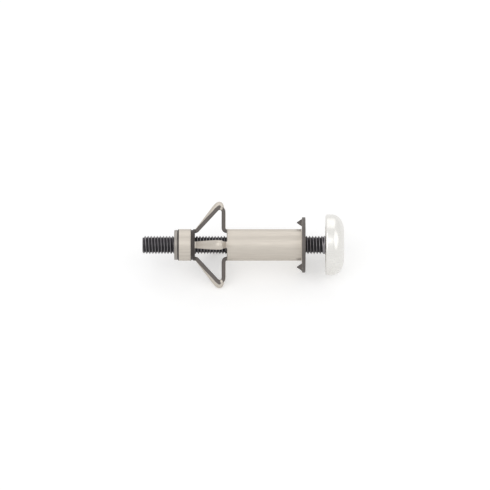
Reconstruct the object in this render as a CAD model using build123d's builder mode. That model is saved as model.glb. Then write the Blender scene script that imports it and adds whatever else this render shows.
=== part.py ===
from build123d import *
import os
from math import atan2, cos, radians, sin, sqrt, tan

# A metal hollow wall anchor in its set state, in millimetres.
# The X axis is the anchor's own axis and points from the folded legs to the screw head.
# X = 0 is the seating face of the flange, and Z is up as the anchor lies on two legs and its head.
# A radius or a height above the axis is called r.

# Driving dimensions of the sleeve, which is one rolled and folded sheet
sheet_t = 1.2             # thickness of the sheet
tube_r = 5.2              # outer radius of the rolled tube and of the collar
grip_len = 25.0           # from the flange's seating face to the legs' seating faces
flange_r = 9.1            # outer radius of the flange
flange_edge_r = 0.25      # rounding of the flange's rim
mouth_bend_r = 0.4        # inner radius of the bend from the tube to the flange
cage_len = 10.1           # from the legs' seating faces to the front end of the collar
collar_len = 5.6          # from the front end of the collar to its rear end
collar_edge_r = 0.35      # rounding of the collar's rear end

# Driving dimensions of the legs
leg_count = 4             # legs left between the slots
leg_roll = 45.0           # angle of the first leg about the axis, so that two legs point down
leg_root_w = 2.4          # width where a leg leaves the tube and the collar
leg_knee_w = 3.2          # width at the fold
leg_rise = 47.0           # angle between the axis and a leg's sloping half
root_bend_r = 0.5         # inner radius of the bend at the collar
foot_bend_r = 0.5         # inner radius of the bend at the tube
knee_inner_r = 0.65       # inner radius of the fold
slope_crown = 1.1         # height of the stamped crown where the slope meets the fold
knee_crown = 1.55         # height of the crown on the fold
crown_fade = 55.0         # turn past the top of the fold over which crown and width run out
rising_steps = 4          # sections from the slope to the top of the fold
falling_steps = 7         # sections from there to the seating face

# Driving dimensions of the claws, which are tongues cut from the flange and bent over
claw_count = 2
claw_roll = 45.0          # angle of the first claw about the axis
claw_r = 7.3              # radius of the middle of a claw
claw_base = 2.4           # length of the fold line of a claw
claw_h = 1.8              # height of a claw above the seating face
claw_tip_r = 0.2          # rounding of its tip
claw_bend_r = 0.7         # outer radius of its bend

# Driving dimensions of the bead that locks the nut in the collar
bead_back = 0.9           # from the collar's front end to the middle of the bead
bead_r = 0.42             # radius of the rolling wheel's edge
bead_depth = 0.3          # depth of the groove outside, and height of the bead inside

# Driving dimensions of the nut
nut_slip = 0.03           # gap all round between the nut's barrel and the collar
nut_wall = 0.92           # wall of the barrel, outside the screw's thread
nut_setback = 0.2         # from the collar's front end to the front end of the barrel
nut_flange_step = 0.25    # how far the nut's rear flange stays inside the collar's radius
nut_flange_t = 1.2        # thickness of that flange
nut_edge_r = 0.3          # rounding of that flange
nut_mouth_c = 0.4         # chamfer at both ends of the threaded hole

# Driving dimensions of the machine screw, M6 x 60, whose radius follows from the nut's
screw_len = 60.0          # under the head
thread_gap = 0.05         # gap all round between the screw and the nut's hole
tip_c = 0.6               # chamfer of the tip
clamp_gap = 6.5           # between the flange and the head
head_r = 10.05            # outer radius of the head
head_h = 6.2              # height of the head
head_flat_r = 4.65        # radius of the flat on top of the head
head_round_h = 3.9        # height of the rounded shoulder of the head
head_edge_r = 0.8         # rounding of the edge under the head
neck_fillet_r = 0.3       # fillet between the shank and the head

# Driving dimensions of the cross recess in the head
recess_depth = 3.4
recess_span = 7.2         # across the wings at the top
recess_floor_span = 3.4   # across the wings at the bottom
recess_wing_w = 1.5       # width of a wing at the top
recess_floor_w = 1.1      # width of a wing at the bottom
recess_core_r = 1.8       # radius of the round middle at the top
recess_core_floor_r = 1.0  # radius of the round middle at its bottom
recess_core_extra = 0.4   # how much deeper the round middle goes


def rounded_height(radius, width):
    """How far the middle of an arc of this radius stands above its chord of this width."""
    return radius - sqrt(radius**2 - (width / 2) ** 2)


# Radii and places along the axis that follow from the sizes above
bore_r = tube_r - sheet_t
flange_front_x = sheet_t
collar_front_x = -grip_len - cage_len
collar_rear_x = collar_front_x - collar_len
bead_x = collar_front_x - bead_back
bead_centre_r = bore_r + bead_r - bead_depth
groove_centre_r = tube_r + bead_r - bead_depth
barrel_r = bore_r - nut_slip
hole_r = barrel_r - nut_wall
screw_r = hole_r - thread_gap  # over the thread's crests, 3.0 for M6
nut_flange_r = tube_r - nut_flange_step
mouth_chamfer = min(nut_mouth_c, nut_wall / 2)  # limited by the barrel's wall
nut_front_x = collar_front_x - nut_setback
nut_rear_x = collar_rear_x - nut_flange_t
head_x = flange_front_x + clamp_gap
head_top_x = head_x + head_h
shoulder_x = head_top_x - head_round_h
tip_x = head_x - screw_len

# A leg is followed along its outer corners, in the plane of the X axis and r.
# It keeps the roundness of the tube, root_sag, at both of its ends.
root_sag = rounded_height(tube_r, leg_root_w)
root_corner_r = tube_r - root_sag
seat_corner_x = -grip_len - root_sag
rim_x = seat_corner_x + foot_bend_r
foot_end_r = root_corner_r + foot_bend_r
knee_outer_r = knee_inner_r + sheet_t
knee_x = seat_corner_x - knee_outer_r
slope_start_x = collar_front_x + root_bend_r * sin(radians(leg_rise))
slope_start_r = root_corner_r + root_bend_r * (1 - cos(radians(leg_rise)))
slope_end_x = knee_x - knee_outer_r * sin(radians(leg_rise))
slope_end_r = slope_start_r + (slope_end_x - slope_start_x) * tan(radians(leg_rise))
knee_r = slope_end_r - knee_outer_r * cos(radians(leg_rise))


def leg_section(x, r, heading, width, crown):
    """Section across a leg at one place, where heading is the leg's angle to the axis.

    The sheet is pressed into a gutter that keeps its thickness, from the crown to the side walls.
    """
    half = width / 2
    steep = 2 * atan2(crown, half)  # slope of the crown's arc where it meets a side wall
    inner_half = half - sheet_t * sin(steep)
    along = (cos(radians(heading)), 0, sin(radians(heading)))
    with BuildSketch(Plane(origin=(x, 0, r), x_dir=(0, 1, 0), z_dir=along)) as section:
        with BuildLine():
            ThreePointArc((-half, 0), (0, crown), (half, 0))
            Polyline((half, 0), (half, -sheet_t), (inner_half, -sheet_t))
            Spline(
                (inner_half, -sheet_t),
                (0, crown - sheet_t),
                (-inner_half, -sheet_t),
                tangents=((-cos(steep), sin(steep)), (-cos(steep), -sin(steep))),
            )
            Polyline((-inner_half, -sheet_t), (-half, -sheet_t), (-half, 0))
        make_face()
    return section.sketch


def knee_section(heading):
    """Section of the leg on its fold: crown and width swell up to the top and run out past it."""
    if heading >= 0:
        swell = cos(radians(90 * heading / leg_rise)) ** 2
        crown = slope_crown + (knee_crown - slope_crown) * swell
        width = leg_knee_w
    else:
        swell = cos(radians(min(90 * -heading / crown_fade, 90))) ** 2
        crown = root_sag + (knee_crown - root_sag) * swell
        width = leg_root_w + (leg_knee_w - leg_root_w) * swell
    x = knee_x - knee_outer_r * sin(radians(heading))
    r = knee_r + knee_outer_r * cos(radians(heading))
    return leg_section(x, r, heading, width, crown)


# One folded leg, standing straight up from the axis
with BuildPart() as leg:
    root = leg_section(collar_front_x, root_corner_r, 0, leg_root_w, root_sag)
    root_axis = Axis((collar_front_x, 0, root_corner_r + root_bend_r), (0, -1, 0))
    revolve(root, axis=root_axis, revolution_arc=leg_rise)

    slope_start = leg_section(slope_start_x, slope_start_r, leg_rise, leg_root_w, root_sag)
    loft([slope_start, knee_section(leg_rise)])

    rising = [leg_rise * (1 - step / rising_steps) for step in range(rising_steps)]
    falling = [-90 * step / falling_steps for step in range(falling_steps + 1)]
    loft([knee_section(heading) for heading in rising + falling])

    seat_end = leg_section(seat_corner_x, foot_end_r, -90, leg_root_w, root_sag)
    loft([knee_section(-90), seat_end])

    foot_axis = Axis((rim_x, 0, foot_end_r), (0, -1, 0))
    revolve(seat_end, axis=foot_axis, revolution_arc=90)


# The sleeve: flange with its claws, tube, legs and collar, all of one sheet
with BuildPart() as anchor_sleeve:
    # Tube and flange, joined by a bend that keeps the sheet's thickness
    with BuildSketch(Plane.XZ):
        with BuildLine():
            bend_centre = (-mouth_bend_r, tube_r + mouth_bend_r)
            Line((rim_x, bore_r), (rim_x, tube_r))
            Line((rim_x, tube_r), (-mouth_bend_r, tube_r))
            CenterArc(bend_centre, mouth_bend_r, -90, 90)
            Line((0, tube_r + mouth_bend_r), (0, flange_r))
            Line((0, flange_r), (flange_front_x, flange_r))
            Line((flange_front_x, flange_r), (flange_front_x, tube_r + mouth_bend_r))
            CenterArc(bend_centre, mouth_bend_r + sheet_t, -90, 90)
            Line((-mouth_bend_r, bore_r), (rim_x, bore_r))
        make_face()
        fillet(vertices().group_by(Axis.Y)[-1], flange_edge_r)
    revolve(axis=Axis.X)

    # Collar, with the bead that is rolled into the nut's groove
    with BuildSketch(Plane.XZ):
        with BuildLine():
            Polyline(
                (collar_front_x, bore_r),
                (collar_front_x, tube_r),
                (collar_rear_x, tube_r),
                (collar_rear_x, bore_r),
                close=True,
            )
        make_face()
        fillet(vertices().group_by(Axis.X)[0].sort_by(Axis.Y)[-1], collar_edge_r)
        with Locations((bead_x, bead_centre_r)):
            Circle(bead_r)
        with Locations((bead_x, groove_centre_r)):
            Circle(bead_r, mode=Mode.SUBTRACT)
    revolve(axis=Axis.X)

    for turn in range(leg_count):
        add(leg.part.rotate(Axis.X, leg_roll - 90 + turn * 360 / leg_count))

    # Windows that the claws leave in the flange
    with BuildSketch(Plane.YZ):
        with PolarLocations(claw_r, claw_count, start_angle=claw_roll):
            Polygon((-claw_base / 2, 0), (claw_base / 2, 0), (0, claw_h), align=None)
    extrude(amount=flange_front_x, mode=Mode.SUBTRACT)

    for turn in range(claw_count):
        roll = claw_roll + turn * 360 / claw_count
        outward = Vector(0, 1, 0).rotate(Axis.X, roll)
        aside = Vector(0, 0, 1).rotate(Axis.X, roll)
        # The claw, a triangle that stands on the seating face beside its window
        with BuildSketch(Plane(origin=outward * claw_r, x_dir=outward, z_dir=-aside)):
            Polygon((-claw_base / 2, 0), (claw_base / 2, 0), (0, -claw_h), align=None)
            fillet(vertices().sort_by(Axis.Y)[0], claw_tip_r)
        extrude(amount=sheet_t)
        # The rounded outer side of its bend
        fold_start = outward * (claw_r - claw_base / 2)
        with BuildSketch(Plane(origin=fold_start, x_dir=aside, z_dir=outward)):
            with Locations((-claw_bend_r / 2, flange_front_x - claw_bend_r / 2)):
                Rectangle(claw_bend_r, claw_bend_r)
            with Locations((-claw_bend_r, flange_front_x - claw_bend_r)):
                Circle(claw_bend_r, mode=Mode.SUBTRACT)
        extrude(amount=claw_base, mode=Mode.SUBTRACT)


# The nut: a barrel inside the collar and a flange that bears on the collar's rear end
with BuildPart() as threaded_nut:
    with BuildSketch(Plane.XZ):
        with BuildLine():
            Polyline(
                (nut_rear_x, hole_r + mouth_chamfer),
                (nut_rear_x, nut_flange_r),
                (collar_rear_x, nut_flange_r),
                (collar_rear_x, barrel_r),
                (nut_front_x, barrel_r),
                (nut_front_x, hole_r + mouth_chamfer),
                (nut_front_x - mouth_chamfer, hole_r),
                (nut_rear_x + mouth_chamfer, hole_r),
                close=True,
            )
        make_face()
        fillet(vertices().group_by(Axis.Y)[-1], nut_edge_r)
        with Locations((bead_x, bead_centre_r)):
            Circle(bead_r + nut_slip, mode=Mode.SUBTRACT)
    revolve(axis=Axis.X)


# The machine screw, its thread left as a plain cylinder over the crests
with BuildPart() as machine_screw:
    with BuildSketch(Plane.XZ):
        with BuildLine():
            Line((tip_x, 0), (tip_x, screw_r - tip_c))
            Line((tip_x, screw_r - tip_c), (tip_x + tip_c, screw_r))
            Line((tip_x + tip_c, screw_r), (head_x, screw_r))
            Line((head_x, screw_r), (head_x, head_r - head_edge_r))
            CenterArc((head_x + head_edge_r, head_r - head_edge_r), head_edge_r, 90, 90)
            Line((head_x + head_edge_r, head_r), (shoulder_x, head_r))
            shoulder_centre = (shoulder_x, head_flat_r)
            EllipticalCenterArc(shoulder_centre, head_round_h, head_r - head_flat_r, arc_size=90)
            Line((head_top_x, head_flat_r), (head_top_x, 0))
            Line((head_top_x, 0), (tip_x, 0))
        make_face()
        neck = vertices().sort_by_distance((head_x, screw_r))[0]
        fillet(neck, neck_fillet_r)
    revolve(axis=Axis.X)

    # Cross recess: two tapering wings and a round middle
    for wing_turn in (0, 90):
        with BuildSketch(Plane.YZ.offset(head_top_x)):
            Rectangle(recess_span, recess_wing_w, rotation=wing_turn)
        with BuildSketch(Plane.YZ.offset(head_top_x - recess_depth)):
            Rectangle(recess_floor_span, recess_floor_w, rotation=wing_turn)
        loft(mode=Mode.SUBTRACT)
    with BuildSketch(Plane.YZ.offset(head_top_x)):
        Circle(recess_core_r)
    with BuildSketch(Plane.YZ.offset(head_top_x - recess_depth - recess_core_extra)):
        Circle(recess_core_floor_r)
    loft(mode=Mode.SUBTRACT)


os.makedirs("parts", exist_ok=True)

anchor_sleeve.part.label = "anchor_sleeve"
export_step(anchor_sleeve.part, "parts/anchor_sleeve.step")

threaded_nut.part.label = "threaded_nut"
export_step(threaded_nut.part, "parts/threaded_nut.step")

machine_screw.part.label = "machine_screw"
export_step(machine_screw.part, "parts/machine_screw.step")
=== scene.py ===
import logging
import math
from abc import ABC, abstractmethod
from dataclasses import dataclass, field
from enum import Enum
from typing import Any

import bmesh
import bpy
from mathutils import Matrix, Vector


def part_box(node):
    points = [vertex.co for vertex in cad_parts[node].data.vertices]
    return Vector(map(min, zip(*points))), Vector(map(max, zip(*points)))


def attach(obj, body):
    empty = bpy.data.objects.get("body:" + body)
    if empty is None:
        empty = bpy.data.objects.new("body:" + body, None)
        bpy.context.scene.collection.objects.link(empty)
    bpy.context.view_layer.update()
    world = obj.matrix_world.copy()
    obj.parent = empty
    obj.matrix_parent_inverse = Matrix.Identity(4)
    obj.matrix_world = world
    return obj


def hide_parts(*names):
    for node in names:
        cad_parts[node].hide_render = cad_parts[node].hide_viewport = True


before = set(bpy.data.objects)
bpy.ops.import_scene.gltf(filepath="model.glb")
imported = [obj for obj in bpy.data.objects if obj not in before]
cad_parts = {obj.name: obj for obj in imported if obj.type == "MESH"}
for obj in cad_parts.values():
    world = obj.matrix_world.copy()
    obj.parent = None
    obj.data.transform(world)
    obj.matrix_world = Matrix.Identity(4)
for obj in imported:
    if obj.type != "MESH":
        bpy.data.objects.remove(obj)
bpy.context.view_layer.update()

# A metal hollow wall anchor in its set state: a sleeve whose four legs are folded out, the nut
# locked in the sleeve's collar, and the machine screw that drew the legs up.
# The sizes here are in millimetres and the finished meshes are in metres, as the frame's are.
# X runs along the anchor's axis towards the screw head, and X = 0 is the flange's seating face.

Inputs = dict[str | int, Any]       # a value or another node's output for each input of a node

LOG = logging.getLogger("hollow_wall_anchor")
MM = 0.001
AXIS = Vector((1.0, 0.0, 0.0))
WHITE = "#FFFFFF"
TOUCH = 1e-4                        # points closer than this are one point
NEAR = 0.01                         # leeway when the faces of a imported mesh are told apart
CREASE = 28.0                       # degrees past which an edge is shown sharp
EDGE_SAMPLES = 6                    # rays that look for an edge round a point
RUB_START, RUB_FULL = 0.99, 0.91    # an edge is rubbed where it turns the normal by this cosine
NOISE_LOW, NOISE_HIGH = 0.3, 0.7    # nearly all values of a noise lie between these
SHARE, FIRST, SECOND, MIXED = 0, 6, 7, 2    # sockets of a colour mix, whose names aren't unique


def linear(code: str) -> tuple[float, float, float, float]:
    """Turns an sRGB hex colour into the linear values that a socket takes.

    Args:
        code: the colour as "#RRGGBB".

    Returns:
        Red, green, blue and an alpha of 1.
    """
    shares = [int(code[i:i + 2], 16) / 255 for i in (1, 3, 5)]
    red, green, blue = (s / 12.92 if s <= 0.04045 else ((s + 0.055) / 1.055) ** 2.4 for s in shares)
    return red, green, blue, 1.0


def add_node(
    tree: bpy.types.NodeTree,
    kind: str,
    settings: dict[str, Any] | None = None,
    inputs: Inputs | None = None,
) -> bpy.types.Node:
    """Adds a node with its settings, its values and its incoming links.

    Args:
        tree: the node tree that gets the node.
        kind: the node's type, such as "ShaderNodeMath".
        settings: the node's own properties by name.
        inputs: a value or another node's output for each input, by name or number.

    Returns:
        The new node.
    """
    node = tree.nodes.new(kind)
    for name, value in (settings or {}).items():
        setattr(node, name, value)
    for name, value in (inputs or {}).items():
        if isinstance(value, bpy.types.NodeSocket):
            tree.links.new(value, node.inputs[name])
        else:
            node.inputs[name].default_value = value
    return node


def new_material(name: str) -> tuple[bpy.types.Material, bpy.types.NodeTree]:
    """Makes a material with an empty node tree.

    Args:
        name: the name of the real material and its finish.

    Returns:
        The material and its tree.
    """
    material = bpy.data.materials.new(name)
    material.use_nodes = True
    material.node_tree.nodes.clear()
    return material, material.node_tree


def fine_relief(
    tree: bpy.types.NodeTree,
    height: bpy.types.NodeSocket,
    strength: float,
    depth: float,
    broken_edge: float,
) -> bpy.types.NodeSocket:
    """Adds the normal of a surface with a fine relief and slightly broken edges.

    Args:
        tree: the tree that gets the nodes.
        height: the output with the relief's pattern.
        strength: how much of the relief shows, where 1 is all of it.
        depth: the relief's depth, in millimetres.
        broken_edge: how far the rounding reaches from an edge, in millimetres.

    Returns:
        The output with the normal.
    """
    rounded = add_node(tree, "ShaderNodeBevel", {"samples": EDGE_SAMPLES}, {
        "Radius": broken_edge * MM,
    })
    relief = add_node(tree, "ShaderNodeBump", None, {
        "Height": height, "Strength": strength, "Distance": depth * MM,
        "Normal": rounded.outputs["Normal"],
    })
    return relief.outputs["Normal"]


def edge_share(tree: bpy.types.NodeTree, reach: float) -> bpy.types.NodeSocket:
    """Adds a share that is 1 along a sharp edge and falls to 0 away from it.

    Args:
        tree: the tree that gets the nodes.
        reach: how far from an edge the share goes, in millimetres.

    Returns:
        The output with the share.
    """
    flat = add_node(tree, "ShaderNodeNewGeometry")
    rounded = add_node(tree, "ShaderNodeBevel", {"samples": EDGE_SAMPLES}, {"Radius": reach * MM})
    turned = add_node(tree, "ShaderNodeVectorMath", {"operation": "DOT_PRODUCT"}, {
        0: rounded.outputs["Normal"], 1: flat.outputs["Normal"],
    })
    share = add_node(tree, "ShaderNodeMapRange", {"clamp": True}, {
        "Value": turned.outputs["Value"], "From Min": RUB_START, "From Max": RUB_FULL,
    })
    return share.outputs["Result"]


def axis_distance(tree: bpy.types.NodeTree) -> bpy.types.NodeSocket:
    """Adds a point's distance from the anchor's axis, in metres.

    Args:
        tree: the tree that gets the nodes.

    Returns:
        The output with the distance.
    """
    place = add_node(tree, "ShaderNodeTexCoord").outputs["Object"]
    across = add_node(tree, "ShaderNodeVectorMath", {"operation": "MULTIPLY"}, {
        0: place, 1: (0.0, 1.0, 1.0),
    })
    distance = add_node(tree, "ShaderNodeVectorMath", {"operation": "LENGTH"}, {
        0: across.outputs["Vector"],
    })
    return distance.outputs["Value"]


def merged_copy(node: str) -> bmesh.types.BMesh:
    """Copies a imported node's mesh, in millimetres and with its loose triangles joined.

    Args:
        node: the name of the node.

    Returns:
        The copy as a closed mesh.
    """
    shape = bmesh.new()
    shape.from_mesh(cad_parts[node].data)
    bmesh.ops.scale(shape, vec=(1 / MM,) * 3, verts=shape.verts)
    bmesh.ops.remove_doubles(shape, verts=shape.verts, dist=TOUCH)
    return shape


def packed_box(node: str) -> tuple[Vector, Vector]:
    """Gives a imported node's lowest and highest corners, in millimetres."""
    low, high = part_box(node)
    return Vector(low) / MM, Vector(high) / MM


def radius(point: Vector) -> float:
    """Gives a point's distance from the anchor's axis."""
    return math.hypot(point.y, point.z)


def open_edges(shape: bmesh.types.BMesh, x: float, reach: float = 0.02) -> list[bmesh.types.BMEdge]:
    """Finds the open edges that lie in one plane across the axis.

    Args:
        shape: the mesh to search.
        x: the place of the plane along the axis.
        reach: how far from the plane an edge may lie.

    Returns:
        The edges with one face only, both of whose ends lie near the plane.
    """
    return [
        edge for edge in shape.edges
        if edge.is_boundary and all(abs(vert.co.x - x) < reach for vert in edge.verts)
    ]


def bridge_rims(shape: bmesh.types.BMesh, first: float, second: float) -> None:
    """Closes the strip between two open rims round the axis.

    Args:
        shape: the mesh with the rims, which is changed.
        first: the place of one rim along the axis.
        second: the place of the other.
    """
    rims = open_edges(shape, first) + open_edges(shape, second)
    bmesh.ops.bridge_loops(shape, edges=rims)


def join(shape: bmesh.types.BMesh, added: bmesh.types.BMesh) -> None:
    """Moves one mesh into another.

    Args:
        shape: the mesh that takes in the other.
        added: the other mesh, which is freed.
    """
    held = bpy.data.meshes.new("held")
    added.to_mesh(held)
    added.free()
    shape.from_mesh(held)
    bpy.data.meshes.remove(held)


def add_piece(
    name: str,
    shape: bmesh.types.BMesh,
    materials: list[bpy.types.Material],
    crease: float = CREASE,
) -> bpy.types.Object:
    """Turns a finished shape in millimetres into an object at the origin.

    Args:
        name: the name of the piece.
        shape: the shape, which is freed.
        materials: the materials by slot number.
        crease: the angle in degrees past which an edge is shown sharp.

    Returns:
        The object.
    """
    bmesh.ops.scale(shape, vec=(MM,) * 3, verts=shape.verts)
    mesh = bpy.data.meshes.new(name)
    shape.to_mesh(mesh)
    shape.free()
    for material in materials:
        mesh.materials.append(material)
    packed_normals = mesh.attributes.get("custom_normal")
    if packed_normals:          # they no longer fit once the triangles are joined
        mesh.attributes.remove(packed_normals)
    mesh.shade_smooth()
    mesh.set_sharp_from_angle(angle=math.radians(crease))
    piece = bpy.data.objects.new(name, mesh)
    bpy.context.scene.collection.objects.link(piece)
    flat_faces = piece.modifiers.new("flat_faces_stay_flat", "WEIGHTED_NORMAL")
    flat_faces.keep_sharp = True
    LOG.info("%s: %d faces", name, len(mesh.polygons))
    return piece


@dataclass(frozen=True)
class MetalFinish(ABC):
    """What the anchor's finishes have in common: each is a metal with a surface of its own."""

    name: str

    @abstractmethod
    def surface(self, tree: bpy.types.NodeTree) -> Inputs:
        """Adds the nodes of the finish's own surface.

        Args:
            tree: the tree that gets the nodes.

        Returns:
            A value or another node's output for each of the shader's inputs, by name.
        """

    def material(self) -> bpy.types.Material:
        """Builds the material.

        Returns:
            A metal with the finish's surface.
        """
        material, tree = new_material(self.name)
        inputs: Inputs = {"Metallic": 1.0} | self.surface(tree)
        shader = add_node(tree, "ShaderNodeBsdfPrincipled", None, inputs)
        add_node(tree, "ShaderNodeOutputMaterial", None, {"Surface": shader.outputs["BSDF"]})
        return material


@dataclass(frozen=True)
class GalvanisedSheet(MetalFinish):
    """Electrogalvanised cold-rolled steel sheet, punched, rolled and folded.

    To the eye it is a pale, faintly warm satin grey, with soft rolling marks along the tube
    and a fine even grain. The plating is rubbed dark along its sheared edges.
    """

    name: str = "electrogalvanised_steel_sheet"
    pale: str = "#CAC3B9"
    dull: str = "#C1BAB1"
    rubbed: str = "#4A4744"
    cut: str = "#65605D"
    smooth: float = 0.38        # roughness where the sheet is pale
    matt: float = 0.5           # roughness where it is dull
    mark_length: float = 7.0
    mark_width: float = 0.35    # rolling marks are drawn as coarse as they need to show
    mark_detail: float = 3.0
    mark_fuzz: float = 0.55     # how strong the finer marks are
    grain: float = 0.12         # the plating's grain, drawn coarser than it is, to show
    grain_detail: float = 2.0
    grain_depth: float = 0.004
    grain_strength: float = 0.35
    broken_edge: float = 0.09
    rubbed_edge: float = 0.6
    leg_roll: float = 45.0      # angle of the first leg about the axis, in degrees
    legs_start: float = -35.0   # the legs' part of the sheet along the axis
    legs_end: float = -24.8
    cut_start: float = 0.93     # how squarely a surface faces sideways, from plated to cut
    cut_end: float = 0.99

    def cut_sides(
        self, tree: bpy.types.NodeTree, place: bpy.types.NodeSocket,
    ) -> bpy.types.NodeSocket:
        """Adds a share that is 1 on the cut side walls of the legs.

        The legs stand on the diagonals, so a turn by their roll puts each on an axis, and
        the smaller of the two coordinates there is the one across the leg.

        Args:
            tree: the tree that gets the nodes.
            place: the point on the piece.

        Returns:
            The output with the share, which is 0 off the legs.
        """
        facing = add_node(tree, "ShaderNodeTexCoord").outputs["Normal"]
        parts = []
        for vector in (place, facing):
            turned = add_node(tree, "ShaderNodeVectorRotate", {"rotation_type": "X_AXIS"}, {
                "Vector": vector, "Angle": math.radians(self.leg_roll),
            })
            size = add_node(tree, "ShaderNodeVectorMath", {"operation": "ABSOLUTE"}, {
                0: turned.outputs["Vector"],
            })
            parts.append(add_node(tree, "ShaderNodeSeparateXYZ", None, {
                "Vector": size.outputs["Vector"],
            }))
        spot, way = parts
        swapped = add_node(tree, "ShaderNodeMath", {"operation": "LESS_THAN"}, {
            0: spot.outputs["Z"], 1: spot.outputs["Y"],
        })
        across = add_node(tree, "ShaderNodeMix", {"data_type": "FLOAT"}, {
            "Factor": swapped.outputs["Value"], "A": way.outputs["Y"], "B": way.outputs["Z"],
        })
        square = add_node(tree, "ShaderNodeMapRange", {"clamp": True}, {
            "Value": across.outputs["Result"], "From Min": self.cut_start, "From Max": self.cut_end,
        })
        middle = (self.legs_start + self.legs_end) / 2
        along = add_node(tree, "ShaderNodeSeparateXYZ", None, {"Vector": place})
        on_legs = add_node(tree, "ShaderNodeMath", {"operation": "COMPARE"}, {
            0: along.outputs["X"], 1: middle * MM, 2: (self.legs_end - middle) * MM,
        })
        share = add_node(tree, "ShaderNodeMath", {"operation": "MULTIPLY"}, {
            0: square.outputs["Result"], 1: on_legs.outputs["Value"],
        })
        return share.outputs["Value"]

    def surface(self, tree: bpy.types.NodeTree) -> Inputs:
        """Adds the rolling marks, the grain, the cut sides and the rubbed edges.

        Args:
            tree: the tree that gets the nodes.

        Returns:
            The sheet's colour, roughness and normal.
        """
        place = add_node(tree, "ShaderNodeTexCoord").outputs["Object"]
        drawn = add_node(tree, "ShaderNodeMapping", None, {
            "Vector": place,
            "Scale": [1 / (self.mark_length * MM)] + [1 / (self.mark_width * MM)] * 2,
        })
        marks = add_node(tree, "ShaderNodeTexNoise", None, {
            "Vector": drawn.outputs["Vector"], "Scale": 1.0,
            "Detail": self.mark_detail, "Roughness": self.mark_fuzz,
        })
        grain = add_node(tree, "ShaderNodeTexNoise", None, {
            "Vector": place, "Scale": 1 / (self.grain * MM), "Detail": self.grain_detail,
        })
        share = add_node(tree, "ShaderNodeMapRange", {"clamp": True}, {
            "Value": marks.outputs["Fac"], "From Min": NOISE_LOW, "From Max": NOISE_HIGH,
        })
        sheet = add_node(tree, "ShaderNodeMix", {"data_type": "RGBA"}, {
            SHARE: share.outputs["Result"], FIRST: linear(self.pale), SECOND: linear(self.dull),
        })
        plated = add_node(tree, "ShaderNodeMix", {"data_type": "RGBA"}, {
            SHARE: self.cut_sides(tree, place),
            FIRST: sheet.outputs[MIXED], SECOND: linear(self.cut),
        })
        colour = add_node(tree, "ShaderNodeMix", {"data_type": "RGBA"}, {
            SHARE: edge_share(tree, self.rubbed_edge),
            FIRST: plated.outputs[MIXED], SECOND: linear(self.rubbed),
        })
        rough = add_node(tree, "ShaderNodeMapRange", {"clamp": True}, {
            "Value": marks.outputs["Fac"], "From Min": NOISE_LOW, "From Max": NOISE_HIGH,
            "To Min": self.smooth, "To Max": self.matt,
        })
        normal = fine_relief(
            tree, grain.outputs["Fac"], self.grain_strength, self.grain_depth, self.broken_edge,
        )
        return {
            "Base Color": colour.outputs[MIXED],
            "Roughness": rough.outputs["Result"],
            "Normal": normal,
        }


@dataclass(frozen=True)
class ShearedSteel(MetalFinish):
    """The same sheet where it was sheared through its plating.

    The bare steel is a darker, duller grey, drawn out in fine scores across the cut.
    A darker copy of this finish is painted shade in the nut's groove and the collar's rear joint.
    """

    name: str = "sheared_steel_edge"
    light: str = "#746F6C"
    dark: str = "#5B5755"
    rubbed: str = "#474341"
    score_length: float = 1.2
    score_width: float = 0.14   # scores are drawn at twice their real spacing, to show
    score_detail: float = 2.0
    score_depth: float = 0.008
    score_strength: float = 0.4
    roughness: float = 0.5
    rubbed_edge: float = 0.5
    broken_edge: float = 0.07

    def surface(self, tree: bpy.types.NodeTree) -> Inputs:
        """Adds the scores and the rubbed edges.

        Args:
            tree: the tree that gets the nodes.

        Returns:
            The steel's colour, roughness and normal.
        """
        place = add_node(tree, "ShaderNodeTexCoord").outputs["Object"]
        drawn = add_node(tree, "ShaderNodeMapping", None, {
            "Vector": place,
            "Scale": [1 / (self.score_length * MM)] + [1 / (self.score_width * MM)] * 2,
        })
        scores = add_node(tree, "ShaderNodeTexNoise", None, {
            "Vector": drawn.outputs["Vector"], "Scale": 1.0, "Detail": self.score_detail,
        })
        steel = add_node(tree, "ShaderNodeMix", {"data_type": "RGBA"}, {
            SHARE: scores.outputs["Fac"], FIRST: linear(self.dark), SECOND: linear(self.light),
        })
        colour = add_node(tree, "ShaderNodeMix", {"data_type": "RGBA"}, {
            SHARE: edge_share(tree, self.rubbed_edge),
            FIRST: steel.outputs[MIXED], SECOND: linear(self.rubbed),
        })
        normal = fine_relief(
            tree, scores.outputs["Fac"], self.score_strength, self.score_depth, self.broken_edge,
        )
        return {"Base Color": colour.outputs[MIXED], "Roughness": self.roughness, "Normal": normal}


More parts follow.
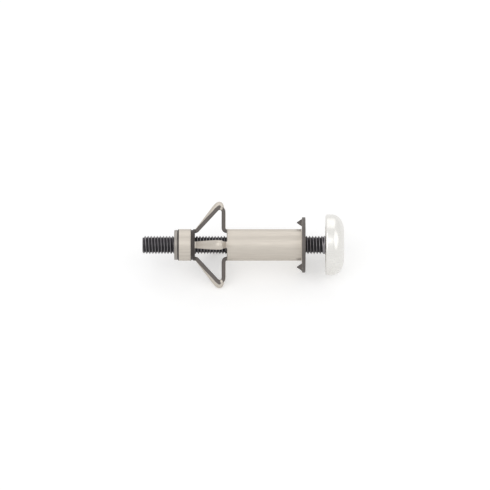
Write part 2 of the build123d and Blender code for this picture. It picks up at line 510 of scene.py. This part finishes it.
@dataclass(frozen=True)
class TurnedNutSteel(MetalFinish):
    """Zinc-plated free-cutting steel, turned and tapped.

    It looks a shade darker than the sheet, with fine rings round the axis from the turning.
    """

    name: str = "zinc_plated_turned_steel"
    light: str = "#A7A29B"
    dark: str = "#8B8682"
    ring: float = 0.16          # turning rings, drawn twice as coarse as real ones to show
    ring_detail: float = 2.0
    ring_depth: float = 0.01
    ring_strength: float = 0.3
    roughness: float = 0.36
    broken_edge: float = 0.08

    def surface(self, tree: bpy.types.NodeTree) -> Inputs:
        """Adds the turning rings, which follow the distance from the axis and along it.

        Args:
            tree: the tree that gets the nodes.

        Returns:
            The nut's colour, roughness and normal.
        """
        place = add_node(tree, "ShaderNodeTexCoord").outputs["Object"]
        along = add_node(tree, "ShaderNodeSeparateXYZ", None, {"Vector": place})
        round_axis = add_node(tree, "ShaderNodeCombineXYZ", None, {
            "X": axis_distance(tree), "Y": along.outputs["X"],
        })
        rings = add_node(tree, "ShaderNodeTexNoise", None, {
            "Vector": round_axis.outputs["Vector"],
            "Scale": 1 / (self.ring * MM), "Detail": self.ring_detail,
        })
        colour = add_node(tree, "ShaderNodeMix", {"data_type": "RGBA"}, {
            SHARE: rings.outputs["Fac"], FIRST: linear(self.dark), SECOND: linear(self.light),
        })
        normal = fine_relief(
            tree, rings.outputs["Fac"], self.ring_strength, self.ring_depth, self.broken_edge,
        )
        return {"Base Color": colour.outputs[MIXED], "Roughness": self.roughness, "Normal": normal}


@dataclass(frozen=True)
class BrightHeadSteel(MetalFinish):
    """Bright zinc-plated steel, cold headed and tumbled.

    It is the palest and smoothest of the finishes, near white where it faces the light.
    """

    name: str = "bright_zinc_plated_headed_steel"
    light: str = "#E8E7E3"
    dull: str = "#DBD9D5"
    patch: float = 1.6          # size of the soft patches that tumbling leaves
    patch_detail: float = 4.0
    patch_fuzz: float = 0.6     # how strong the finer patches are
    smooth: float = 0.25        # roughness where the plating is light
    matt: float = 0.3           # roughness where it is dull
    broken_edge: float = 0.1

    def surface(self, tree: bpy.types.NodeTree) -> Inputs:
        """Adds the soft patches.

        Args:
            tree: the tree that gets the nodes.

        Returns:
            The head's colour, roughness and normal.
        """
        place = add_node(tree, "ShaderNodeTexCoord").outputs["Object"]
        patches = add_node(tree, "ShaderNodeTexNoise", None, {
            "Vector": place, "Scale": 1 / (self.patch * MM),
            "Detail": self.patch_detail, "Roughness": self.patch_fuzz,
        })
        colour = add_node(tree, "ShaderNodeMix", {"data_type": "RGBA"}, {
            SHARE: patches.outputs["Fac"], FIRST: linear(self.light), SECOND: linear(self.dull),
        })
        rough = add_node(tree, "ShaderNodeMapRange", {"clamp": True}, {
            "Value": patches.outputs["Fac"], "From Min": NOISE_LOW, "From Max": NOISE_HIGH,
            "To Min": self.smooth, "To Max": self.matt,
        })
        rounded = add_node(tree, "ShaderNodeBevel", {"samples": EDGE_SAMPLES}, {
            "Radius": self.broken_edge * MM,
        })
        return {
            "Base Color": colour.outputs[MIXED],
            "Roughness": rough.outputs["Result"],
            "Normal": rounded.outputs["Normal"],
        }


@dataclass(frozen=True)
class RolledThreadSteel(MetalFinish):
    """Zinc-plated steel with a rolled thread that is still oily from the box.

    The crests are rubbed grey, and the grooves are painted nearly black as shade.
    """

    name: str = "rolled_thread_steel_painted_groove_shade"
    # The grooves' near black is painted shade; the crests' grey is rubbed plating.
    crest: str = "#8C898C"
    groove: str = "#4A484B"
    groove_r: float = 2.42
    crest_r: float = 2.98
    # The curve also keeps the painted shade deep in the grooves
    wear_and_shade_curve: float = 1.6     # above 1 it keeps the rubbed grey close to the crests
    rubbed: float = 0.28        # roughness on the crests
    oily: float = 0.42          # roughness in the grooves

    def surface(self, tree: bpy.types.NodeTree) -> Inputs:
        """Adds the wear and the painted groove shade, which follow the distance from the axis.

        Args:
            tree: the tree that gets the nodes.

        Returns:
            The thread's colour and roughness.
        """
        # Painted shade: the colour darkens from the crests into the grooves
        height = add_node(tree, "ShaderNodeMapRange", {"clamp": True}, {
            "Value": axis_distance(tree),
            "From Min": self.groove_r * MM, "From Max": self.crest_r * MM,
        })
        wear_and_groove_shade = add_node(tree, "ShaderNodeMath", {"operation": "POWER"}, {
            0: height.outputs["Result"], 1: self.wear_and_shade_curve,
        })
        colour = add_node(tree, "ShaderNodeMix", {"data_type": "RGBA"}, {
            SHARE: wear_and_groove_shade.outputs["Value"], FIRST: linear(self.groove), SECOND: linear(self.crest),
        })
        rough = add_node(tree, "ShaderNodeMapRange", None, {
            "Value": wear_and_groove_shade.outputs["Value"], "To Min": self.oily, "To Max": self.rubbed,
        })
        return {"Base Color": colour.outputs[MIXED], "Roughness": rough.outputs["Result"]}


@dataclass(frozen=True)
class ThreadForm:
    """One pitch of a metric thread, and the helix that it makes.

    The profile runs from crest to crest. An outer thread's crest is its larger radius, and
    an inner thread's crest is its smaller one.
    """

    pitch: float
    crest_r: float
    root_r: float
    flank: float = 30.0         # degrees between a flank and a plane across the axis
    crest_share: float = 1 / 14  # half the crest's width, as a share of the pitch
    crest_drop: float = 0.025   # share of the depth at which the crest turns into the flank
    root_drop: float = 0.97     # share of the depth at which the flank turns into the root
    segments: int = 56          # round one turn
    spare_turns: int = 2        # wound past the cut at each end
    weld: float = 0.01          # joins the edges of neighbouring turns

    def profile(self) -> list[tuple[float, float]]:
        """Draws one pitch of the thread.

        Returns:
            The profile's points, each by its place along the axis and its distance from it.
        """
        depth = self.root_r - self.crest_r
        crest_end = self.pitch * self.crest_share
        root_start = crest_end + abs(depth) * math.tan(math.radians(self.flank))
        half = [
            (0.0, self.crest_r),
            (crest_end, self.crest_r + self.crest_drop * depth),
            (root_start, self.crest_r + self.root_drop * depth),
            (self.pitch / 2, self.root_r),
        ]
        return half + [(self.pitch - x, r) for x, r in reversed(half[:-1])]

    def helix(self, start: float, end: float) -> bmesh.types.BMesh:
        """Winds the profile round the axis and cuts the helix square at both ends.

        Args:
            start: the place of the first cut along the axis.
            end: the place of the second cut.

        Returns:
            The open helical surface between the two cuts.
        """
        shape = bmesh.new()
        first = start - self.spare_turns * self.pitch
        verts = [shape.verts.new((first + x, 0.0, r)) for x, r in self.profile()]
        edges = [shape.edges.new(pair) for pair in zip(verts, verts[1:])]
        bmesh.ops.spin(
            shape, geom=verts + edges, cent=(0, 0, 0), axis=AXIS,
            dvec=AXIS * (self.pitch / self.segments), angle=math.tau, steps=self.segments,
            use_merge=False, use_normal_flip=False, use_duplicate=False,
        )
        turn = shape.verts[:] + shape.edges[:] + shape.faces[:]
        turns = math.ceil((end - start) / self.pitch) + self.spare_turns
        for count in range(1, turns + 1):
            copied = bmesh.ops.duplicate(shape, geom=turn)["geom"]
            moved = [part for part in copied if isinstance(part, bmesh.types.BMVert)]
            bmesh.ops.translate(shape, vec=AXIS * (self.pitch * count), verts=moved)
        bmesh.ops.remove_doubles(shape, verts=shape.verts, dist=self.weld)
        for place, outward in ((start, -AXIS), (end, AXIS)):
            bmesh.ops.bisect_plane(
                shape, geom=shape.verts[:] + shape.edges[:] + shape.faces[:], dist=TOUCH,
                plane_co=AXIS * place, plane_no=outward, clear_outer=True,
            )
        return shape


class ScrewZone(Enum):
    """The material slots of the screw."""

    HEAD = 0
    THREAD = 1


class SheetZone(Enum):
    """The material slots of the sleeve."""

    ROLLED = 0
    SHEARED = 1
    # faces painted dark as shade: the nut's groove, its lip and the collar's rear joint
    CREASE_SHADE = 2


@dataclass
class SleevePiece:
    """The rolled and folded sheet sleeve, with its sheared places and its painted shade told apart.
    """

    rolled_finish: GalvanisedSheet = field(default_factory=GalvanisedSheet)
    sheared_finish: ShearedSteel = field(default_factory=ShearedSteel)
    # Painted shade: a darker copy of the sheared finish for the groove and the collar's rear joint
    crease_shade_finish: ShearedSteel = field(default_factory=lambda: ShearedSteel(
        name="steel_with_painted_crease_shade", light="#5F5A58", dark="#474341",
    ))
    rim_r: float = 8.7          # the flange's rim lies outside this radius
    rim_tilt: float = 0.8       # and its normal has less than this along the axis
    claw_r: float = 5.9         # the claws lie outside this radius, behind the flange
    claw_x: float = -3.0
    slots: tuple[float, float] = (-35.2, -24.4)     # the slots between the legs
    slot_end_r: float = 5.3     # the slots' end faces lie inside this radius
    slot_end_tilt: float = 0.9  # and their normals have more than this along the axis
    # The groove, its lip and the collar's bent-in rear end below are painted dark as shade
    groove: tuple[float, float] = (-36.41, -35.12)  # the groove that locks the nut, and its lip
    groove_r: float = 4.8       # they lie outside this radius
    rear_bend: float = -40.36   # the collar's rear end is bent in up to here

    def zone(self, face: bmesh.types.BMFace) -> SheetZone:
        """Tells rolled faces from sheared ones and from those painted dark as shade.

        Args:
            face: a face of the sleeve.

        Returns:
            The zone that the face belongs to.
        """
        middle = face.calc_center_median()
        distance = radius(middle)
        tilt = abs(face.normal.x)
        rim = middle.x > -NEAR and distance > self.rim_r and tilt < self.rim_tilt
        claw = self.claw_x < middle.x < -NEAR and distance > self.claw_r
        between_legs = self.slots[0] < middle.x < self.slots[1]
        slot_end = between_legs and distance < self.slot_end_r and tilt > self.slot_end_tilt
        if rim or claw or slot_end:
            return SheetZone.SHEARED
        # Painted shade in the groove and in the joint between the collar and the nut
        grooved = self.groove[0] < middle.x < self.groove[1] and distance > self.groove_r
        if grooved or middle.x < self.rear_bend:
            return SheetZone.CREASE_SHADE
        return SheetZone.ROLLED

    def build(self) -> bpy.types.Object:
        """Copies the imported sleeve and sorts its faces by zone.

        Returns:
            The finished piece.
        """
        shape = merged_copy("anchor_sleeve")
        shape.normal_update()
        for face in shape.faces:
            face.material_index = self.zone(face).value
        finishes = (self.rolled_finish, self.sheared_finish, self.crease_shade_finish)
        piece = add_piece("sleeve", shape, [finish.material() for finish in finishes])
        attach(piece, "anchor")
        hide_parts("anchor_sleeve")
        return piece


@dataclass
class NutPiece:
    """The nut that is locked in the collar, with a thread wound into its bore."""

    finish: TurnedNutSteel = field(default_factory=TurnedNutSteel)
    bore_r: float = 3.05
    thread_depth: float = 0.4
    pitch: float = 1.0
    mouth_chamfer: float = 0.4  # at both ends of the bore
    lead: float = 0.06          # plain strip between a chamfer and the thread

    def build(self) -> bpy.types.Object:
        """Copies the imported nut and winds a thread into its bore.

        Returns:
            The finished piece.
        """
        shape = merged_copy("threaded_nut")
        low, high = packed_box("threaded_nut")
        start, end = low.x + self.mouth_chamfer, high.x - self.mouth_chamfer
        bore = [
            face for face in shape.faces
            if all(radius(vert.co) < self.bore_r + NEAR for vert in face.verts)
        ]
        bmesh.ops.delete(shape, geom=bore, context="FACES")
        thread = ThreadForm(self.pitch, self.bore_r, self.bore_r + self.thread_depth)
        join(shape, thread.helix(start + self.lead, end - self.lead))
        bridge_rims(shape, start, start + self.lead)
        bridge_rims(shape, end, end - self.lead)
        bmesh.ops.recalc_face_normals(shape, faces=shape.faces)
        piece = add_piece("nut", shape, [self.finish.material()])
        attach(piece, "anchor")
        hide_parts("threaded_nut")
        return piece


@dataclass
class ScrewPiece:
    """The M6 x 60 machine screw: its packed head, and a rolled thread in place of the shank."""

    head_finish: BrightHeadSteel = field(default_factory=BrightHeadSteel)
    thread_finish: RolledThreadSteel = field(default_factory=RolledThreadSteel)
    crest_r: float = 3.0
    root_r: float = 2.387
    pitch: float = 1.0
    length: float = 60.0        # under the head
    tip_chamfer: float = 0.6
    neck_fillet: float = 0.3    # between the shank and the head
    neck_lead: float = 0.1      # plain strip between the thread and the fillet
    neck_r: float = 3.35        # the fillet under the head lies inside this radius
    run_out: float = 0.5        # length over which the thread fades into the neck
    crease: float = 14.0        # degrees, small enough to keep the thread's flanks crisp
    tip_x: float = field(default_factory=lambda: packed_box("machine_screw")[0].x)

    @property
    def head_x(self) -> float:
        """The place of the head's underside along the axis."""
        return self.tip_x + self.length

    @property
    def neck_x(self) -> float:
        """The place where the shank meets the fillet under the head."""
        return self.head_x - self.neck_fillet

    @property
    def thread_end(self) -> float:
        """The place where the thread ends, just short of the fillet."""
        return self.neck_x - self.neck_lead

    def chamfer_tip(self, shape: bmesh.types.BMesh) -> None:
        """Turns the thread's first turns down to the tip's chamfer.

        Args:
            shape: the thread, which is changed.
        """
        bmesh.ops.bisect_plane(
            shape, geom=shape.verts[:] + shape.edges[:] + shape.faces[:], dist=TOUCH,
            plane_co=AXIS * (self.tip_x + self.tip_chamfer), plane_no=AXIS,
        )
        for vert in shape.verts:
            limit = self.crest_r - self.tip_chamfer + vert.co.x - self.tip_x
            if radius(vert.co) > limit:
                share = limit / radius(vert.co)
                vert.co = (vert.co.x, vert.co.y * share, vert.co.z * share)

    def fade_thread(self, shape: bmesh.types.BMesh) -> None:
        """Lets the grooves run out under the head, as a rolled thread does.

        Args:
            shape: the thread, which is changed.
        """
        for vert in shape.verts:
            share = (vert.co.x - self.thread_end + self.run_out) / self.run_out
            if share > 0:
                share = min(share, 1.0) ** 2    # squared, so that the groove rises softly
                wanted = radius(vert.co) * (1 - share) + self.crest_r * share
                grown = wanted / radius(vert.co)
                vert.co = (vert.co.x, vert.co.y * grown, vert.co.z * grown)

    def wound_thread(self) -> bmesh.types.BMesh:
        """Winds the thread and shapes its two ends.

        Returns:
            The thread, open at both ends and with its faces in their slot.
        """
        thread = ThreadForm(self.pitch, self.crest_r, self.root_r)
        wound = thread.helix(self.tip_x, self.thread_end)
        self.chamfer_tip(wound)
        self.fade_thread(wound)
        for face in wound.faces:
            face.material_index = ScrewZone.THREAD.value
        return wound

    def build(self) -> bpy.types.Object:
        """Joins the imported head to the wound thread.

        Returns:
            The finished piece.
        """
        shape = merged_copy("machine_screw")
        cut_x = (self.neck_x + self.thread_end) / 2
        shank = [vert for vert in shape.verts if vert.co.x < cut_x]
        bmesh.ops.delete(shape, geom=shank, context="VERTS")
        for face in shape.faces:
            middle = face.calc_center_median()
            neck = middle.x < self.head_x + NEAR and radius(middle) < self.neck_r
            face.material_index = (ScrewZone.THREAD if neck else ScrewZone.HEAD).value
        join(shape, self.wound_thread())
        bridge_rims(shape, self.neck_x, self.thread_end)
        tip = bmesh.ops.holes_fill(shape, edges=open_edges(shape, self.tip_x), sides=0)
        for face in tip["faces"]:
            face.material_index = ScrewZone.THREAD.value
        bmesh.ops.recalc_face_normals(shape, faces=shape.faces)
        materials = [self.head_finish.material(), self.thread_finish.material()]
        piece = add_piece("screw", shape, materials, self.crease)
        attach(piece, "screw")
        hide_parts("machine_screw")
        return piece


@dataclass(frozen=True)
class Lamp:
    """A square soft lamp, with its place and its side in metres."""

    name: str
    place: tuple[float, float, float]
    side: float
    level: float                # its share of a plain level of light, where 1 is all of it

    def hang(self, target: Vector) -> None:
        """Hangs the lamp where it belongs and points it at the anchor.

        Args:
            target: the point that it lights, in metres.
        """
        light = bpy.data.lights.new(self.name, "AREA")
        light.size = self.side
        way = target - Vector(self.place)
        # The power, in watts, that lights a surface facing the lamp to that level from there
        light.energy = self.level * math.pi ** 2 * way.length_squared
        lamp = bpy.data.objects.new(self.name, light)
        lamp.location = self.place
        lamp.rotation_euler = way.to_track_quat("-Z", "Y").to_euler()
        bpy.context.scene.collection.objects.link(lamp)


@dataclass
class Studio:
    """A pale floor that the anchor lies on, plain soft light and a camera that looks down."""

    floor_size: float = 4000.0
    leg_touch_x: float = -27.0  # where along the axis the folded legs rest
    head_touch_x: float = 8.6   # where the head's rim rests
    floor_gap: float = 0.01     # keeps the floor just clear of what rests on it
    floor_colour: str = "#E9E9E9"
    floor_glow: float = 0.38    # seen only by the camera and in gloss, to keep the floor white
    sky_level: float = 0.55
    lamps: tuple[Lamp, ...] = (
        Lamp("left_lamp", (-0.70, -0.60, 1.10), 1.4, 0.24),
        Lamp("right_lamp", (0.95, -0.35, 0.90), 1.2, 0.13),
        Lamp("rear_lamp", (0.0, 1.00, 0.90), 1.3, 0.12),
    )
    lit_x: float = -18.0        # the lamps point at this place on the axis
    scale: float = 3.045        # pixels to a millimetre
    image: int = 490
    seat_column: float = 301.8  # the flange's seating face in the image
    axis_row: float = 244.9     # the anchor's axis in the image
    elevation: float = 45.0
    lens: float = 600.0         # long, for the flat view of a drawing
    sensor: float = 36.0
    nearest: float = 0.01       # what the camera sees lies between these, in metres
    farthest: float = 20.0

    def build_floor(self) -> bpy.types.Object:
        """Lays the floor against the two legs and the head's rim.

        Returns:
            The floor.
        """
        material, tree = new_material("matt_white_studio_paper")
        seen = self.seen_rays(tree)
        paper = add_node(tree, "ShaderNodeBsdfDiffuse", None, {"Color": linear(self.floor_colour)})
        glow = add_node(tree, "ShaderNodeEmission", None, {
            "Color": linear(WHITE), "Strength": self.floor_glow,
        })
        both = add_node(tree, "ShaderNodeAddShader", None, {
            0: paper.outputs["BSDF"], 1: glow.outputs["Emission"],
        })
        surface = add_node(tree, "ShaderNodeMixShader", None, {
            0: seen, 1: paper.outputs["BSDF"], 2: both.outputs["Shader"],
        })
        add_node(tree, "ShaderNodeOutputMaterial", None, {"Surface": surface.outputs["Shader"]})
        leg_z = packed_box("anchor_sleeve")[0].z
        head_z = packed_box("machine_screw")[0].z
        slope = (head_z - leg_z) / (self.head_touch_x - self.leg_touch_x)
        shape = bmesh.new()
        bmesh.ops.create_grid(shape, x_segments=1, y_segments=1, size=self.floor_size / 2)
        for vert in shape.verts:
            vert.co.z = leg_z + slope * (vert.co.x - self.leg_touch_x) - self.floor_gap
        floor = add_piece("floor", shape, [material])
        return floor

    def seen_rays(self, tree: bpy.types.NodeTree) -> bpy.types.NodeSocket:
        """Adds what is 1 for rays from the camera, a gloss or a glass, and 0 for the rest.

        Args:
            tree: the tree that gets the nodes.

        Returns:
            The output with that value.
        """
        path = add_node(tree, "ShaderNodeLightPath")
        gloss = add_node(tree, "ShaderNodeMath", {"operation": "MAXIMUM"}, {
            0: path.outputs["Is Camera Ray"], 1: path.outputs["Is Glossy Ray"],
        })
        seen = add_node(tree, "ShaderNodeMath", {"operation": "MAXIMUM"}, {
            0: gloss.outputs["Value"], 1: path.outputs["Is Transmission Ray"],
        })
        return seen.outputs["Value"]

    def build_sky(self) -> None:
        """Makes the world white to look at and softer as a light."""
        world = bpy.data.worlds.new("white_studio")
        bpy.context.scene.world = world
        world.use_nodes = True
        tree = world.node_tree
        tree.nodes.clear()
        level = add_node(tree, "ShaderNodeMapRange", None, {
            "Value": self.seen_rays(tree), "To Min": self.sky_level, "To Max": 1.0,
        })
        sky = add_node(tree, "ShaderNodeBackground", None, {
            "Color": linear(WHITE), "Strength": level.outputs["Result"],
        })
        add_node(tree, "ShaderNodeOutputWorld", None, {"Surface": sky.outputs["Background"]})

    def build_lamps(self) -> None:
        """Hangs a large lamp on each side and one behind, all soft."""
        for lamp in self.lamps:
            lamp.hang(AXIS * (self.lit_x * MM))

    def build_camera(self) -> None:
        """Sets the camera where the flat side view is taken from."""
        lens = bpy.data.cameras.new("side_view")
        lens.lens = self.lens
        lens.sensor_width = self.sensor
        lens.clip_start = self.nearest
        lens.clip_end = self.farthest
        distance = self.image / self.scale * self.lens / self.sensor
        turn = math.radians(self.elevation)
        back = Vector((0.0, -math.cos(turn), math.sin(turn)))
        upward = Vector((0.0, math.sin(turn), math.cos(turn)))
        across = (self.image / 2 - self.seat_column) / self.scale
        down = (self.image / 2 - self.axis_row) / self.scale
        centre = AXIS * across - upward * down
        camera = bpy.data.objects.new("side_view", lens)
        camera.location = (centre + back * distance) * MM
        camera.rotation_euler = (-back).to_track_quat("-Z", "Y").to_euler()
        bpy.context.scene.collection.objects.link(camera)
        bpy.context.scene.camera = camera

    def build(self) -> None:
        """Builds the floor, the light and the camera."""
        self.build_floor()
        self.build_sky()
        self.build_lamps()
        self.build_camera()


def main() -> None:
    """Builds the anchor's pieces and the studio in order, and reports each."""
    logging.basicConfig(level=logging.INFO, format="%(name)s %(message)s")
    bpy.context.scene.view_settings.view_transform = "Standard"
    for piece in (SleevePiece(), NutPiece(), ScrewPiece()):
        built = piece.build()
        LOG.info("%s is done", built.name)
    Studio().build()
    LOG.info("studio is done")


if __name__ == "__main__":
    main()
